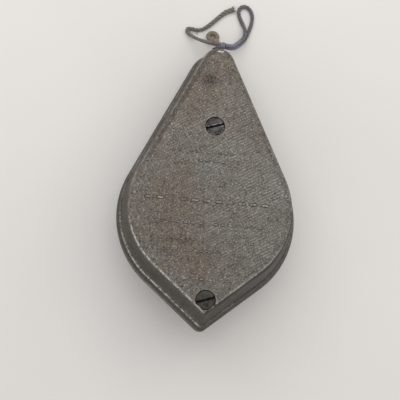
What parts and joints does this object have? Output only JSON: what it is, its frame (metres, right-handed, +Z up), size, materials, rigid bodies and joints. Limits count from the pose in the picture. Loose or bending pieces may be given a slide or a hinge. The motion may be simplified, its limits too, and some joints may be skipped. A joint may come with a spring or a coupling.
{
  "type": "chalk line reel",
  "caption": "Hand-cranked chalk line reel: pointed cast case with a textured face, folding crank behind, sliding filler door and knotted line with a ring at the nose.",
  "frame": {"origin": "middle of the footprint of the reel without its free line, on the floor that it lies on", "axes": "+Y along the case towards its nose, +Z up; the case leans about 13 degrees nose down on its crank knob and its rear nose edge, textured face up"},
  "size_m": [0.0788, 0.15, 0.0509],
  "materials": {
    "cast_alloy": "dull grey cast alloy, worn bright at its edges, grime in the texture",
    "screw_steel": "dark slotted screw heads, worn at the slot",
    "shaft_steel": "turned steel",
    "crank_steel": "pressed steel, dulled",
    "sheet_steel": "plated sheet steel, dulled",
    "bronze": "dull bronze",
    "felt": "grey felt with chalk",
    "line": "twisted cotton line, grey with blue chalk",
    "tan_thread": "tan waxed thread",
    "black_knob": "worn black"
  },
  "bodies": {
    "case": {"front_shell": "cast_alloy", "rear_shell": "cast_alloy", "upper_case_screw": "screw_steel", "lower_case_screw": "screw_steel", "outlet_ferrule": "bronze", "felt_wiper": "felt", "line_lead": "line", "front_bush": "bronze", "rear_bush": "bronze", "seal_washer": "felt", "left_door_guide": "sheet_steel", "right_door_guide": "sheet_steel", "left_lower_door_rivet": "shaft_steel", "left_upper_door_rivet": "shaft_steel", "right_lower_door_rivet": "shaft_steel", "right_upper_door_rivet": "shaft_steel", "line_knot": "line", "line_tail": "line", "line_loop": "line", "line_ring": "tan_thread", "ring_tie": "tan_thread"},
    "reel": {"front_flange": "sheet_steel", "rear_flange": "sheet_steel", "reel_hub": "sheet_steel", "line_winding": "line", "reel_drive_pin": "shaft_steel", "crank_shaft": "shaft_steel", "wave_washer": "shaft_steel", "crank_hub": "crank_steel", "hub_cross_pin": "shaft_steel", "crank_hinge_pin": "shaft_steel"},
    "crank": {"crank_arm": "crank_steel", "knob_rivet": "shaft_steel"},
    "knob": {"crank_knob": "black_knob"},
    "door": {"filler_door": "sheet_steel"}
  },
  "joints": [
    {"name": "reel_spin", "type": "hinge", "parent": "case", "child": "reel", "pos_m": [0, -0.01539, 0.01605], "axis": [0, -0.2216, -0.9751], "continuous": true},
    {"name": "crank_fold", "type": "hinge", "parent": "reel", "child": "crank", "pos_m": [0, -0.01768, 0.00596], "axis": [1, 0, 0], "range_deg": [0, 180]},
    {"name": "knob_spin", "type": "hinge", "parent": "crank", "child": "knob", "pos_m": [0, -0.0403, 0.00571], "axis": [0, -0.2216, -0.9751], "continuous": true},
    {"name": "door_slide", "type": "slide", "parent": "case", "child": "door", "axis": [0, -0.9751, 0.2216], "range_m": [0, 0.0116]}
  ]
}
